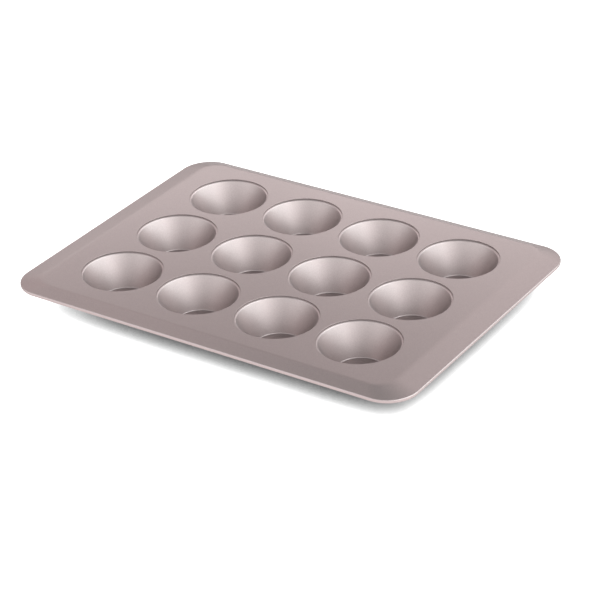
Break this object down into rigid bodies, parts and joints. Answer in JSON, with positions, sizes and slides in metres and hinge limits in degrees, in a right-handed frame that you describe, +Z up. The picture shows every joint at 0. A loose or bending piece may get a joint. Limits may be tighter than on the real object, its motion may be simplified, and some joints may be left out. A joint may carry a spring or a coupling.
{
  "type": "muffin pan",
  "caption": "Coated steel muffin pan: a flat deck with tapered round cups set in a grid, and a wide sloping border with an edge rolled around a wire.",
  "frame": {"origin": "middle of the footprint, on the surface that the cup floors stand on", "axes": "+X along the long side, from the first column of cups to the fourth; +Y along the short side, from the first row to the third; +Z up, out of the cups' mouths"},
  "size_m": [0.393, 0.2868, 0.0295],
  "materials": {
    "coated_steel": "satin metallic non-stick coating, warm grey with a champagne cast",
    "wire_steel": "plain drawn wire"
  },
  "bodies": {
    "root": {"tray": "coated_steel", "rim_wire": "wire_steel", "cup_row1_column1": "coated_steel", "cup_row1_column2": "coated_steel", "cup_row1_column3": "coated_steel", "cup_row1_column4": "coated_steel", "cup_row2_column1": "coated_steel", "cup_row2_column2": "coated_steel", "cup_row2_column3": "coated_steel", "cup_row2_column4": "coated_steel", "cup_row3_column1": "coated_steel", "cup_row3_column2": "coated_steel", "cup_row3_column3": "coated_steel", "cup_row3_column4": "coated_steel"}
  },
  "joints": []
}
